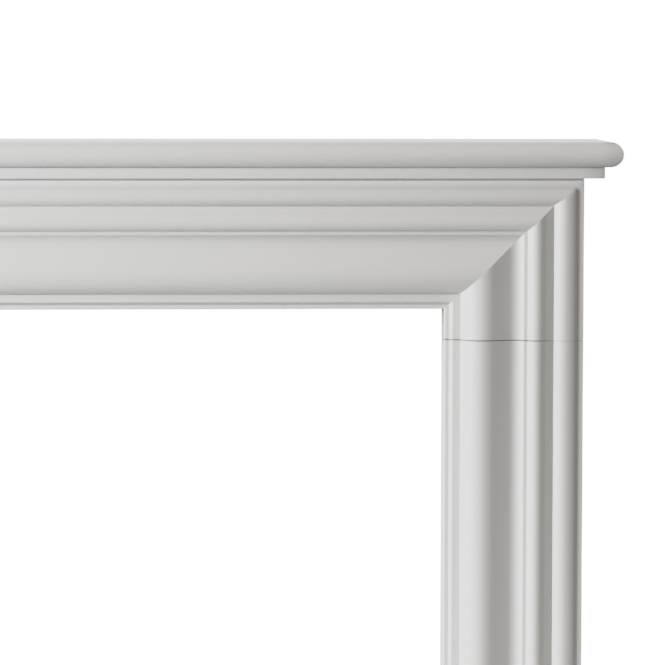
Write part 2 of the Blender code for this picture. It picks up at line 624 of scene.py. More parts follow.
@dataclass(frozen=True)
class WearAndPaintedLight:
    """How arrises have worn, and the painted shade in creases, the painted shadow on the return round the
    opening, the painted glint at the mitre and the painted light on the header's outer fillet.
    """

    # painted shade darkens the creases of the moulding
    crease_shade: float = 0.75
    arris_wear: float = 0.4
    # painted light on the header's outer fillet
    fillet_light: float = 0.7
    # a painted glint lightens the mitre's lines that face the opening
    mitre_glint_gain: float = 2.0
    mitre_glint_from: float = 0.5
    # a painted shadow darkens the return round the opening, most near its top
    return_shade_across: float = 0.0004
    return_shade_depth: float = 0.0325
    least_return_shade: float = 1.0
    most_return_shade: float = 2.0
    return_shade_fade: float = 0.022

    def mitre_glint(self, normal_across: float) -> float:
        """Painted glint on a line of the moulding at the mitre, most where it faces the opening."""
        return -self.mitre_glint_gain * normal_across - self.mitre_glint_from

    def return_shade(self, below: float) -> float:
        """Painted shadow on the return, heaviest in the opening's upper corners.

        Args:
            below: distance below the opening's top.

        Returns:
            The painted shadow's strength, in which 1 is a full coat.
        """
        fading = math.exp(-max(0.0, below) / self.return_shade_fade)
        return self.least_return_shade + (self.most_return_shade - self.least_return_shade) * fading


@dataclass
class MouldingRun:
    """Places rings of the shared section along a leg or round a header's corner."""

    sizes: SurroundSizes
    section: MouldingSection
    easing: EdgeEasing = field(default_factory=EdgeEasing)
    wear_and_painted_light: WearAndPaintedLight = field(default_factory=WearAndPaintedLight)
    corner_steps: int = 7
    filled_from: float = 0.118
    filled_over: float = 0.022
    most_filled: float = 0.9
    glint_reach: float = 0.0016
    back_margin: float = 0.001
    back_radius: float = 0.0003
    corner_radii: tuple[tuple[float, float], ...] = (
        (0.0, 0.0003),
        (0.141, 0.0005),
        (0.154, 0.0016),
        (0.167, 0.0036),
        (0.1746, 0.0040),
        (0.180, 0.0003),
    )

    def corner_radius(self, point: SectionPoint) -> float:
        """Radius of the turn of one line of the moulding at the mitre.

        Args:
            point: the line's point of the section.

        Returns:
            The radius, which grows across the moulding as the table of distance and radius says.
        """
        if point.depth < self.sizes.rebate_depth + self.back_margin:
            return self.back_radius
        for (start, low), (end, high) in zip(self.corner_radii, self.corner_radii[1:]):
            if point.across <= end:
                return low + (high - low) * (point.across - start) / (end - start)
        return self.corner_radii[-1][1]

    def leg_line(self, point: SectionPoint) -> float:
        """Distance of one line of a leg's moulding from the surround's middle."""
        return self.sizes.opening_width / 2 + point.across

    def header_line(self, point: SectionPoint) -> float:
        """Height of one line of the header's moulding."""
        return self.sizes.opening_height + self.sizes.rise(point.across)

    def left_open(self, point: SectionPoint) -> float:
        """How open the joint is left at one line of the moulding, as it is filled towards the outside."""
        filled = min(max((point.across - self.filled_from) / self.filled_over, 0.0), 1.0)
        return 1.0 - self.most_filled * filled

    def is_shaded_return(self, point: SectionPoint) -> bool:
        """Whether one line of the moulding lies on the return that takes the painted shadow."""
        deepest = self.sizes.rebate_depth + self.wear_and_painted_light.return_shade_depth
        return point.across <= self.wear_and_painted_light.return_shade_across and point.depth <= deepest

    def ring_point(self, side: Side, point: SectionPoint, x: float, z: float, turn: float = 0.0,
                   soil_and_shade: float = 0.0) -> RingPoint:
        """Put one point of the section in the world.

        Args:
            side: the end of the surround.
            point: the section's point.
            x: distance from the surround's middle.
            z: height.
            turn: direction of the section's width in radians, 0 for sideways and a right angle for upwards.
            soil_and_shade: least darkening, which is dirt and painted shade.

        Returns:
            The ring's point, with the rubbed face's waviness.
        """
        place = Vector((side.value * x, self.sizes.wall_y - point.depth, z))
        inwards = SURFACE.wave(place, point.depth)
        wide = -inwards * point.normal_across
        sideways = side.value * wide * math.cos(turn)
        place += Vector((sideways, inwards * point.normal_depth, wide * math.sin(turn)))
        # a painted shadow on the return round the opening, and painted shade in creases
        if self.is_shaded_return(point):
            soil_and_shade = max(soil_and_shade, self.wear_and_painted_light.return_shade(self.sizes.opening_height - z))
        grime_and_shade = max(self.wear_and_painted_light.crease_shade * point.crease, soil_and_shade)
        return RingPoint(place, grime_and_shade, self.wear_and_painted_light.arris_wear * point.arris * max(0.0, 1.0 - soil_and_shade))

    def upright(self, side: Side, levels: list[Level], joint: float) -> list[Ring]:
        """Level rings up a leg.

        Args:
            side: the end of the surround.
            levels: the rings' levels.
            joint: height of the joint face, which the filled part of an eased end reaches.

        Returns:
            The rings in the same order.
        """
        rings = []
        for level in levels:
            ring = []
            for point in self.section.points:
                left_open = self.left_open(point)
                z = level.z
                if abs(z - joint) < self.easing.reach:
                    z = joint + (z - joint) * left_open
                found = self.ring_point(side, point, self.leg_line(point), z, soil_and_shade=level.darkening * left_open)
                inwards = level.inset * left_open
                sideways = -side.value * point.normal_across * inwards
                place = found.place + Vector((sideways, point.normal_depth * inwards, 0.0))
                ring.append(RingPoint(place, found.grime_and_shade, found.wear_and_light))
            rings.append(ring)
        return rings

    def over_opening(self, side: Side, steps: int) -> list[Ring]:
        """Rings from the surround's middle out to the start of the corner's turn.

        Args:
            side: the end of the surround.
            steps: how many stretches the run has.

        Returns:
            The rings from the middle outwards.
        """
        rings = []
        for step in range(steps + 1):
            ring = []
            for point in self.section.points:
                end = self.leg_line(point) - self.corner_radius(point)
                x = end * step / steps if step < steps else end - self.glint_reach
                found = self.ring_point(side, point, x, self.header_line(point), turn=math.pi / 2)
                # painted light on the header's outer fillet
                lit_fillet = self.wear_and_painted_light.fillet_light if point.across > self.sizes.outer_fillet else 0.0
                ring.append(RingPoint(found.place, found.grime_and_shade, max(found.wear_and_light, lit_fillet)))
            rings.append(ring)
        return rings

    def round_corner(self, side: Side) -> list[Ring]:
        """Rings round the corner, where every line of the moulding turns on its own small radius.

        Args:
            side: the end of the surround.

        Returns:
            The rings from the header down to the stub.
        """
        rings = []
        for step in range(self.corner_steps + 1):
            angle = math.pi / 2 * step / self.corner_steps
            ring = []
            for point in self.section.points:
                radius = self.corner_radius(point)
                x = self.leg_line(point) - radius * (1.0 - math.sin(angle))
                z = self.header_line(point) - radius * (1.0 - math.cos(angle))
                found = self.ring_point(side, point, x, z, turn=math.pi / 2 - angle)
                # painted glint along the mitre's lines that face the opening, kept with any real wear of
                # arrises
                worn_and_lit = min(max(self.wear_and_painted_light.mitre_glint(point.normal_across), found.wear_and_light), 1.0)
                ring.append(RingPoint(found.place, found.grime_and_shade, worn_and_lit))
            rings.append(ring)
        return rings

    def down_stub(self, side: Side, steps: int) -> list[Ring]:
        """Rings from the corner's turn down to the eased foot of the header's stub.

        Args:
            side: the end of the surround.
            steps: how many stretches the run has above the eased foot.

        Returns:
            The rings from the top down.
        """
        foot = self.sizes.leg_top + self.sizes.joint_gap
        levels = self.easing.above_joint(foot)
        low = levels[-1].z
        rings = []
        for step in range(steps + 1):
            ring = []
            for point in self.section.points:
                top = self.header_line(point) - self.corner_radius(point) - self.glint_reach
                z = top + (low - top) * step / steps
                ring.append(self.ring_point(side, point, self.leg_line(point), z))
            rings.append(ring)
        return rings + self.upright(side, levels[-2::-1], foot)


@dataclass(frozen=True)
class Leg:
    """One leg, from the floor to the joint under the header's stub."""

    run: MouldingRun
    side: Side
    steps: int = 40

    def build(self, material: bpy.types.Material) -> int:
        """Sweep the section up the leg and dress it.

        Args:
            material: the leg's finish.

        Returns:
            The number of triangles.
        """
        top = self.run.sizes.leg_top
        levels = self.run.easing.above_floor()
        upper = self.run.easing.below_joint(top)
        low, high = levels[-1].z, upper[0].z
        levels += [Level(low + (high - low) * step / self.steps) for step in range(1, self.steps)]
        shape = Sweep().run(self.run.upright(self.side, levels + upper, top))
        node = f"{self.side.name.lower()}_leg"
        return Piece(node, f"{node}_stone", Slot.MOULDING).dress(shape, material)


@dataclass(frozen=True)
class Header:
    """The moulding over the opening, with both turned corners and their stubs."""

    run: MouldingRun
    half_steps: int = 22
    stub_steps: int = 8

    def _half(self, side: Side) -> list[Ring]:
        """Rings from the middle to the foot of one stub."""
        rings = self.run.over_opening(side, self.half_steps)
        return rings + self.run.round_corner(side) + self.run.down_stub(side, self.stub_steps)

    def build(self, material: bpy.types.Material) -> int:
        """Sweep the section from one stub's foot to the other's and dress it.

        Args:
            material: the header's finish.

        Returns:
            The number of triangles.
        """
        left = self._half(Side.LEFT)
        shape = Sweep().run(list(reversed(left[1:])) + self._half(Side.RIGHT))
        return Piece("header", "header_stone", Slot.MOULDING).dress(shape, material)


@dataclass(frozen=True)
class SlabSizes:
    """A slab's two opposite corners, how its edges are rounded and eased, how its faces darken just above its
    bottom, and the painted light on its top.
    """

    low: Vector
    high: Vector
    rounding: float
    segments: int
    easing: float = 0.0006
    easing_segments: int = 3
    cuts_along: int = 46
    cuts_deep: int = 6
    # darker just above the slab's bottom
    darkening: float = 0.10
    darkened_height: float = 0.0012
    # painted light on the top face
    top_light: float = 0.0
    top_band: float = 0.0002


class Slab:
    """A stone slab on the wall, with its front and end edges rounded alike."""

    SHARP_ANGLE = math.radians(50)
    NEAR_WALL = 1e-4
    LEVEL = 1e-5
    ALONG = Vector((1.0, 0.0, 0.0))
    DEEP = Vector((0.0, 1.0, 0.0))

    def __init__(self, piece: Piece, sizes: SlabSizes, wall_y: float) -> None:
        """Keep what the slab is built from.

        Args:
            piece: the piece that it becomes.
            sizes: its sizes.
            wall_y: Y of the wall plane.
        """
        self.piece = piece
        self.sizes = sizes
        self.wall_y = wall_y

    def _grow(self, shape: bmesh.types.BMesh) -> None:
        """Grow anything that a plain slab lacks, before its edges are rounded."""

    def _block(self) -> bmesh.types.BMesh:
        """Make the slab with square edges.

        Returns:
            The new shape.
        """
        shape = bmesh.new()
        bmesh.ops.create_cube(shape, size=1.0)
        for corner in shape.verts:
            for axis in range(3):
                corner.co[axis] = self.sizes.high[axis] if corner.co[axis] > 0 else self.sizes.low[axis]
        return shape

    def _is_sharp(self, edge: bmesh.types.BMEdge) -> bool:
        """Whether an edge turns outwards sharply."""
        return edge.calc_face_angle_signed(0.0) > self.SHARP_ANGLE

    def _is_free(self, edge: bmesh.types.BMEdge) -> bool:
        """Whether a sharp edge is level and doesn't lie on the wall.

        Args:
            edge: an edge of the slab.

        Returns:
            True if the edge is one of those to round.
        """
        start, end = (corner.co for corner in edge.verts)
        on_wall = min(start.y, end.y) > self.wall_y - self.NEAR_WALL
        return abs(start.z - end.z) < self.LEVEL and not on_wall and self._is_sharp(edge)

    def _round(self, shape: bmesh.types.BMesh) -> None:
        """Round the level free edges, then ease every sharp one that is left.

        Args:
            shape: the slab.
        """
        free = [edge for edge in shape.edges if self._is_free(edge)]
        self._bevel(shape, free, self.sizes.rounding, self.sizes.segments)
        sharp = [edge for edge in shape.edges if self._is_sharp(edge)]
        self._bevel(shape, sharp, self.sizes.easing, self.sizes.easing_segments)
        bmesh.ops.remove_doubles(shape, verts=shape.verts, dist=MERGE)

    @staticmethod
    def _bevel(shape: bmesh.types.BMesh, edges: list[bmesh.types.BMEdge], offset: float,
               segments: int) -> None:
        """Bevel edges to a round.

        Args:
            shape: the slab.
            edges: the edges.
            offset: how far from each edge the round starts.
            segments: how many facets it has.
        """
        bmesh.ops.bevel(shape, geom=edges, offset=offset, segments=segments, profile=0.5, affect="EDGES",
                        offset_type="OFFSET", material=-1)

    def _cut(self, shape: bmesh.types.BMesh) -> None:
        """Add loops across the slab, for its waviness and its soiling.

        Args:
            shape: the slab.
        """
        for count, across in ((self.sizes.cuts_along, self.ALONG), (self.sizes.cuts_deep, self.DEEP)):
            for step in range(1, count):
                place = self.sizes.low.lerp(self.sizes.high, step / count)
                self._bisect(shape, shape.verts[:] + shape.edges[:] + shape.faces[:], place, across)

    @staticmethod
    def _bisect(shape: bmesh.types.BMesh, parts: list[Part], place: Vector, across: Vector) -> None:
        """Cut parts of the shape by a plane and keep both sides joined.

        Args:
            shape: the slab.
            parts: its corners, edges and faces to cut.
            place: a point of the plane.
            across: the plane's normal.
        """
        bmesh.ops.bisect_plane(shape, geom=parts, dist=MERGE, plane_co=place, plane_no=across)

    def _wave_darken_and_light(self, shape: bmesh.types.BMesh) -> None:
        """Add the waviness, the darkening just above the slab's bottom and the painted light on its top.

        Args:
            shape: the slab.
        """
        sizes = self.sizes
        grime_and_shade = shape.verts.layers.float.new(SURFACE.grime_and_shade)
        wear_and_light = shape.verts.layers.float.new(SURFACE.wear_and_light)
        shape.normal_update()
        for corner in shape.verts:
            height = abs(corner.co.z - sizes.low.z)
            corner[grime_and_shade] = sizes.darkening * max(0.0, 1.0 - height / sizes.darkened_height)
            # painted light on the top face
            corner[wear_and_light] = sizes.top_light if corner.co.z > sizes.high.z - sizes.top_band else 0.0
        for corner in shape.verts:
            corner.co -= corner.normal * SURFACE.wave(corner.co, self.wall_y - corner.co.y)

    def build(self, material: bpy.types.Material) -> int:
        """Model the slab and dress it.

        Args:
            material: the slab's finish.

        Returns:
            The number of triangles.
        """
        shape = self._block()
        self._grow(shape)
        self._round(shape)
        self._cut(shape)
        self._wave_darken_and_light(shape)
        return self.piece.dress(shape, material)


class ShelfBed(Slab):
    """The flat bed slab between the header and the shelf, on a shallow neck."""

    def __init__(self, sizes: SurroundSizes, fillet_depth: float) -> None:
        """Place the bed from the surround's sizes.

        Args:
            sizes: the surround's sizes.
            fillet_depth: distance of the moulding's outer edge out from the wall plane.
        """
        half = sizes.opening_width / 2 + sizes.leg_width + sizes.bed_past_leg
        low = Vector((-half, -sizes.wall_y + sizes.shelf_past_bed, sizes.bed_bottom))
        high = Vector((half, sizes.wall_y, sizes.bed_bottom + sizes.bed_thickness))
        piece = Piece("shelf_bed", "shelf_bed_stone", Slot.BED)
        slab = SlabSizes(low, high, rounding=0.0004, segments=3, easing=0.0003)
        super().__init__(piece, slab, sizes.wall_y)
        self.neck_half = half - sizes.bed_past_leg
        self.neck_front = sizes.wall_y - fillet_depth + sizes.neck_setback
        self.neck_height = sizes.neck_height

    def _underside(self, shape: bmesh.types.BMesh) -> list[bmesh.types.BMFace]:
        """The faces of the slab's underside."""
        return [face for face in shape.faces if face.calc_center_median().z < self.sizes.low.z + self.LEVEL]

    def _is_neck(self, face: bmesh.types.BMFace) -> bool:
        """Whether a face of the underside lies over the header."""
        middle = face.calc_center_median()
        return abs(middle.x) < self.neck_half and middle.y > self.neck_front

    def _grow(self, shape: bmesh.types.BMesh) -> None:
        """Cut the neck's outline into the underside and extrude it down.

        Args:
            shape: the slab.
        """
        left, right = Vector((-self.neck_half, 0.0, 0.0)), Vector((self.neck_half, 0.0, 0.0))
        front = Vector((0.0, self.neck_front, 0.0))
        for place, across in ((left, self.ALONG), (right, self.ALONG), (front, self.DEEP)):
            under = self._underside(shape)
            edges = [edge for edge in shape.edges if any(face in under for face in edge.link_faces)]
            self._bisect(shape, under + edges, place, across)
        neck = next(face for face in self._underside(shape) if self._is_neck(face))
        grown = bmesh.ops.extrude_face_region(shape, geom=[neck])["geom"]
        lower = [part for part in grown if isinstance(part, bmesh.types.BMVert)]
        bmesh.ops.translate(shape, verts=lower, vec=(0.0, 0.0, -self.neck_height))
        bmesh.ops.delete(shape, geom=[neck], context="FACES_ONLY")
        bmesh.ops.recalc_face_normals(shape, faces=shape.faces)


class MantelShelf(Slab):
    """The mantel shelf, with a half-round nose returned round both ends."""

    def __init__(self, sizes: SurroundSizes) -> None:
        """Place the shelf from the surround's sizes.

        Args:
            sizes: the surround's sizes.
        """
        half = sizes.opening_width / 2 + sizes.leg_width + sizes.bed_past_leg + sizes.shelf_past_bed
        bottom = sizes.bed_bottom + sizes.bed_thickness + sizes.joint_gap
        low = Vector((-half, -sizes.wall_y, bottom))
        high = Vector((half, sizes.wall_y, bottom + sizes.shelf_thickness))
        piece = Piece("mantel_shelf", "mantel_shelf_stone", Slot.SHELF)
        nose = (sizes.shelf_thickness - sizes.nose_flat) / 2
        # painted light on the shelf's top face
        slab = SlabSizes(low, high, rounding=nose, segments=24, top_light=0.45)
        super().__init__(piece, slab, sizes.wall_y)


@dataclass(frozen=True)
class NoisePattern:
    """Scale, detail and roughness of a noise texture, and the part of its range that counts."""

    scale: float
    detail: float
    roughness: float
    low: float = 0.0
    high: float = 1.0


class Nodes:
    """Adds the nodes of one tree and joins them."""

    def __init__(self, tree: bpy.types.NodeTree) -> None:
        """Keep the tree."""
        self.tree = tree

    def add(self, kind: str) -> bpy.types.Node:
        """Add a node of one kind."""
        return self.tree.nodes.new(f"ShaderNode{kind}")

    def join(self, start: Socket, end: Socket) -> None:
        """Lead an output to an input."""
        self.tree.links.new(start, end)

    def noise(self, place: Socket, pattern: NoisePattern) -> Socket:
        """Add a noise texture.

        Args:
            place: where it is read.
            pattern: the texture's settings.

        Returns:
            Its value, over its whole range.
        """
        node = self.add("TexNoise")
        node.inputs["Scale"].default_value = pattern.scale
        node.inputs["Detail"].default_value = pattern.detail
        node.inputs["Roughness"].default_value = pattern.roughness
        self.join(place, node.inputs["Vector"])
        return node.outputs["Fac"]

    def attribute(self, name: str) -> Socket:
        """Read a number that the mesh holds at its corners.

        Args:
            name: the attribute's name.

        Returns:
            Its value.
        """
        node = self.add("Attribute")
        node.attribute_name = name
        return node.outputs["Fac"]

    def split(self, place: Socket) -> bpy.types.bpy_prop_collection:
        """Part a place into its X, Y and Z.

        Args:
            place: the place.

        Returns:
            The three outputs, found by letter.
        """
        node = self.add("SeparateXYZ")
        self.join(place, node.inputs["Vector"])
        return node.outputs

    def fit(self, value: Socket, low: float, high: float, to_low: float = 0.0,
            to_high: float = 1.0) -> Socket:
        """Map a value from one range to another, held at both ends.

        Args:
            value: the value.
            low: start of its range.
            high: end of its range.
            to_low: what the start becomes.
            to_high: what the end becomes.

        Returns:
            The mapped value.
        """
        node = self.add("MapRange")
        node.inputs["From Min"].default_value = low
        node.inputs["From Max"].default_value = high
        node.inputs["To Min"].default_value = to_low
        node.inputs["To Max"].default_value = to_high
        self.join(value, node.inputs["Value"])
        return node.outputs["Result"]

    def fit_noise(self, value: Socket, pattern: NoisePattern, to_low: float = 0.0,
                  to_high: float = 1.0) -> Socket:
        """Map the part of a noise texture's range that counts.

        Args:
            value: the texture's value.
            pattern: its settings.
            to_low: what the start of the part becomes.
            to_high: what its end becomes.

        Returns:
            The mapped value.
        """
        return self.fit(value, pattern.low, pattern.high, to_low, to_high)

    def math(self, operation: str, one: Socket, other: Socket | float) -> Socket:
        """Combine a value with a second value or number.

        Args:
            operation: what is done.
            one: the value.
            other: the second value or number.

        Returns:
            The result.
        """
        node = self.add("Math")
        node.operation = operation
        self.join(one, node.inputs[0])
        if isinstance(other, float):
            node.inputs[1].default_value = other
        else:
            self.join(other, node.inputs[1])
        return node.outputs["Value"]

    def blend(self, amount: Socket, colour: Socket, towards: Colour) -> Socket:
        """Mix a colour towards a fixed one.

        Args:
            amount: how far, from 0 to 1.
            colour: the first colour.
            towards: the fixed colour.

        Returns:
            The mixed colour.
        """
        node = self.add("Mix")
        node.data_type = "RGBA"
        self.join(amount, node.inputs["Factor"])
        self.join(colour, node.inputs["A"])
        node.inputs["B"].default_value = (*towards, 1.0)
        return node.outputs["Result"]

    def bump(self, height: Socket, distance: float, strength: float, under: Socket | None = None) -> Socket:
        """Add a relief.

        Args:
            height: its height from 0 to 1.
            distance: full height in metres.
            strength: how much of it shows.
            under: the normal that it lies on, if there is one.

        Returns:
            The new normal.
        """
        node = self.add("Bump")
        node.inputs["Strength"].default_value = strength
        node.inputs["Distance"].default_value = distance
        self.join(height, node.inputs["Height"])
        if under is not None:
            self.join(under, node.inputs["Normal"])
        return node.outputs["Normal"]


@dataclass(frozen=True)
class StoneFinish:
    """A satin white cast stone: its colours, gloss, relief and raw back."""

    name: str
    base: Colour
    cloud: Colour
    low_roughness: float
    high_roughness: float
    # colour of dirt in pores and on the raw back, and of painted shade in creases, on the return and along
    # joints
    soil_and_shade: Colour = (0.36, 0.335, 0.30)
    refraction: float = 1.5
    specular: float = 0.30
    clouds: NoisePattern = NoisePattern(5.5, 4.0, 0.55, 0.3, 0.7)
    cloud_start: float = 0.32
    cloud_end: float = 0.68
    grain: NoisePattern = NoisePattern(1400.0, 2.0, 0.6, 0.35, 0.75)
    grain_shade: float = 0.90
    grain_amount: float = 0.32
    grain_height: float = 0.00003
    grain_strength: float = 0.35
    pore_scale: float = 120.0
    pore_core: float = 0.02
    pore_edge: float = 0.07
    pore_patches: NoisePattern = NoisePattern(38.0, 1.0, 0.5, 0.56, 0.66)
    pore_soiling: float = 0.45
    pore_depth: float = 0.00012
    pore_strength: float = 0.8
    # lighter colour where wear and painted light lie
    wear_and_light_gain: float = 1.2
    wear_and_light_limit: float = 0.95
    wear_and_light_amount: float = 0.9
    worn_gloss: float = 0.25
    # how patchy the dirt and painted shade are
    least_grime_and_shade: float = 0.35
    most_grime_and_shade: float = 0.65
    soil_dullness: float = 0.25
    rubbing: NoisePattern = NoisePattern(17.0, 5.0, 0.6, 0.35, 0.7)
    raw_from: float = 0.0872
    raw_to: float = 0.0884
    raw_shade: float = 0.80
    raw_blotches: NoisePattern = NoisePattern(24.0, 6.0, 0.7, 0.42, 0.62)
    raw_soiling: float = 0.40
    raw_texture: NoisePattern = NoisePattern(260.0, 6.0, 0.7)
    raw_height: float = 0.0012
    raw_roughness: float = 0.85

    def material(self) -> bpy.types.Material:
        """Build the finish as a node material.

        Returns:
            The material.
        """
        material = bpy.data.materials.new(self.name)
        material.use_nodes = True
        nodes = Nodes(material.node_tree)
        shader = material.node_tree.nodes["Principled BSDF"]
        shader.inputs["Metallic"].default_value = 0.0
        shader.inputs["IOR"].default_value = self.refraction
        shader.inputs["Specular IOR Level"].default_value = self.specular
        place = nodes.add("TexCoord").outputs["Object"]
        grain = nodes.noise(place, self.grain)
        pores = self._pores(nodes, place)
        raw = nodes.fit(nodes.split(place)["Y"], self.raw_from, self.raw_to)
        colour = self._raw(nodes, place, self._rubbed(nodes, place, grain, pores), raw)
        nodes.join(colour, shader.inputs["Base Color"])
        nodes.join(self._roughness(nodes, place, raw), shader.inputs["Roughness"])
        nodes.join(self._relief(nodes, place, grain, pores, raw), shader.inputs["Normal"])
        return material

    def _pores(self, nodes: Nodes, place: Socket) -> Socket:
        """Add the sparse pin holes of a cast face.

        Args:
            nodes: the material's nodes.
            place: place on the piece.

        Returns:
            Their depth from 0 to 1.
        """
        cells = nodes.add("TexVoronoi")
        cells.inputs["Scale"].default_value = self.pore_scale
        nodes.join(place, cells.inputs["Vector"])
        holes = nodes.fit(cells.outputs["Distance"], self.pore_core, self.pore_edge, 1.0, 0.0)
        patches = nodes.fit_noise(nodes.noise(place, self.pore_patches), self.pore_patches)
        return nodes.math("MULTIPLY", holes, patches)

    def _rubbed(self, nodes: Nodes, place: Socket, grain: Socket, pores: Socket) -> Socket:
        """Colour the rubbed faces, with their clouds, grain, pores, wear and painted light, and dirt and
        painted shade.

        Args:
            nodes: the material's nodes.
            place: place on the piece.
            grain: the fine grain's value.
            pores: the pores' depth.

        Returns:
            The colour.
        """
        clouds = nodes.noise(place, self.clouds)
        ramp = nodes.add("ValToRGB")
        first, last = ramp.color_ramp.elements
        first.position, last.position = self.cloud_start, self.cloud_end
        first.color, last.color = (*self.cloud, 1.0), (*self.base, 1.0)
        nodes.join(clouds, ramp.inputs["Fac"])
        darker = tuple(self.grain_shade * part for part in self.base)
        speckle = nodes.fit_noise(grain, self.grain, self.grain_amount, 0.0)
        colour = nodes.blend(speckle, ramp.outputs["Color"], darker)
        colour = nodes.blend(nodes.math("MULTIPLY", pores, self.pore_soiling), colour, self.soil_and_shade)
        # painted light and real wear lighten the colour, then dirt and painted shade darken it
        lighter = tuple(min(self.wear_and_light_limit, self.wear_and_light_gain * part) for part in self.base)
        worn_and_lit = nodes.math("MULTIPLY", nodes.attribute(SURFACE.wear_and_light), self.wear_and_light_amount)
        colour = nodes.blend(worn_and_lit, colour, lighter)
        uneven = nodes.fit_noise(clouds, self.clouds, self.least_grime_and_shade, self.most_grime_and_shade)
        grime_and_shade = nodes.math("MULTIPLY", nodes.attribute(SURFACE.grime_and_shade), uneven)
        return nodes.blend(grime_and_shade, colour, self.soil_and_shade)

    def _raw(self, nodes: Nodes, place: Socket, colour: Socket, raw: Socket) -> Socket:
        """Turn the colour sandy and blotchy on the unrubbed back.

        Args:
            nodes: the material's nodes.
            place: place on the piece.
            colour: the rubbed faces' colour.
            raw: how far a face is the back against the wall, from 0 to 1.

        Returns:
            The colour.
        """
        colour = nodes.blend(raw, colour, tuple(self.raw_shade * part for part in self.cloud))
        blotches = nodes.noise(place, self.raw_blotches)
        blotches = nodes.fit_noise(blotches, self.raw_blotches, 0.0, self.raw_soiling)
        return nodes.blend(nodes.math("MULTIPLY", raw, blotches), colour, self.soil_and_shade)

    def _roughness(self, nodes: Nodes, place: Socket, raw: Socket) -> Socket:
        """Vary the gloss, uneven from rubbing, glossier where worn, duller in creases and on the back.

        Args:
            nodes: the material's nodes.
            place: place on the piece.
            raw: how far a face is the back against the wall.

        Returns:
            The roughness.
        """
        rubbing = nodes.noise(place, self.rubbing)
        polish = nodes.fit_noise(rubbing, self.rubbing, self.low_roughness, self.high_roughness)
        dull = nodes.math("MULTIPLY", nodes.attribute(SURFACE.grime_and_shade), self.soil_dullness)
        polish = nodes.math("ADD", polish, dull)
        glossy = nodes.math("MULTIPLY", nodes.attribute(SURFACE.wear_and_light), self.worn_gloss)
        polish = nodes.math("SUBTRACT", polish, glossy)
        return nodes.math("MAXIMUM", polish, nodes.math("MULTIPLY", raw, self.raw_roughness))

    def _relief(self, nodes: Nodes, place: Socket, grain: Socket, pores: Socket, raw: Socket) -> Socket:
        """Add grain and pores everywhere, and a coarse cast texture on the back.

        Args:
            nodes: the material's nodes.
            place: place on the piece.
            grain: the fine grain's value.
            pores: the pores' depth.
            raw: how far a face is the back against the wall.

        Returns:
            The normal.
        """
        normal = nodes.bump(grain, self.grain_height, self.grain_strength)
        sunk = nodes.math("MULTIPLY", pores, -1.0)
        normal = nodes.bump(sunk, self.pore_depth, self.pore_strength, normal)
        coarse = nodes.math("MULTIPLY", nodes.noise(place, self.raw_texture), raw)
        return nodes.bump(coarse, self.raw_height, 1.0, normal)


MOULDING_FINISH = StoneFinish("moulding_stone", (0.80, 0.80, 0.795), (0.782, 0.782, 0.774), 0.42, 0.52)
BED_FINISH = StoneFinish("bed_stone", (0.85, 0.85, 0.845), (0.835, 0.835, 0.827), 0.44, 0.54)
SHELF_FINISH = StoneFinish("shelf_stone", (0.81, 0.81, 0.805), (0.795, 0.795, 0.787), 0.38, 0.48)


@dataclass(frozen=True)
class SoftLight:
    """A round area light."""

    name: str
    place: Place
    aim: Place
    size: float
    power: float
    colour: Colour = (1.0, 1.0, 1.0)

    def build(self) -> None:
        """Put the light in the scene."""
        light = bpy.data.lights.new(self.name, "AREA")
        light.shape = "DISK"
        light.size = self.size
        light.energy = self.power
        light.color = self.colour
        lamp = bpy.data.objects.new(self.name, light)
        lamp.location = self.place
        lamp.rotation_euler = (Vector(self.aim) - Vector(self.place)).to_track_quat("-Z", "Y").to_euler()
        bpy.context.scene.collection.objects.link(lamp)


@dataclass(frozen=True)
class PhotoCamera:
    """The photo's camera, as a pinhole fitted to the corner that it shows."""

    place: Place = (-0.00717, -5.15809, 1.25457)
    focal_pixels: float = 3953.27
    yaw: float = 0.06196
    pitch: float = 0.07203
    roll: float = 0.0020
    clip_end: float = 100.0

    def build(self) -> None:
        """Make the camera and set it as the scene's."""
        data = bpy.data.cameras.new("photo_camera")
        data.lens = data.sensor_width * self.focal_pixels / PHOTO_SIDE
        data.clip_end = self.clip_end
        camera = bpy.data.objects.new("photo_camera", data)
        level = math.cos(self.pitch)
        ahead = Vector((math.sin(self.yaw) * level, math.cos(self.yaw) * level, -math.sin(self.pitch)))
        right = ahead.cross(Vector((0.0, 0.0, 1.0))).normalized()
        up = right.cross(ahead)
        rolled_right = math.cos(self.roll) * right + math.sin(self.roll) * up
        rolled_up = math.cos(self.roll) * up - math.sin(self.roll) * right
        turned = Matrix((rolled_right, rolled_up, -ahead)).transposed().to_4x4()
        camera.matrix_world = Matrix.Translation(self.place) @ turned
        bpy.context.scene.collection.objects.link(camera)
        bpy.context.scene.camera = camera


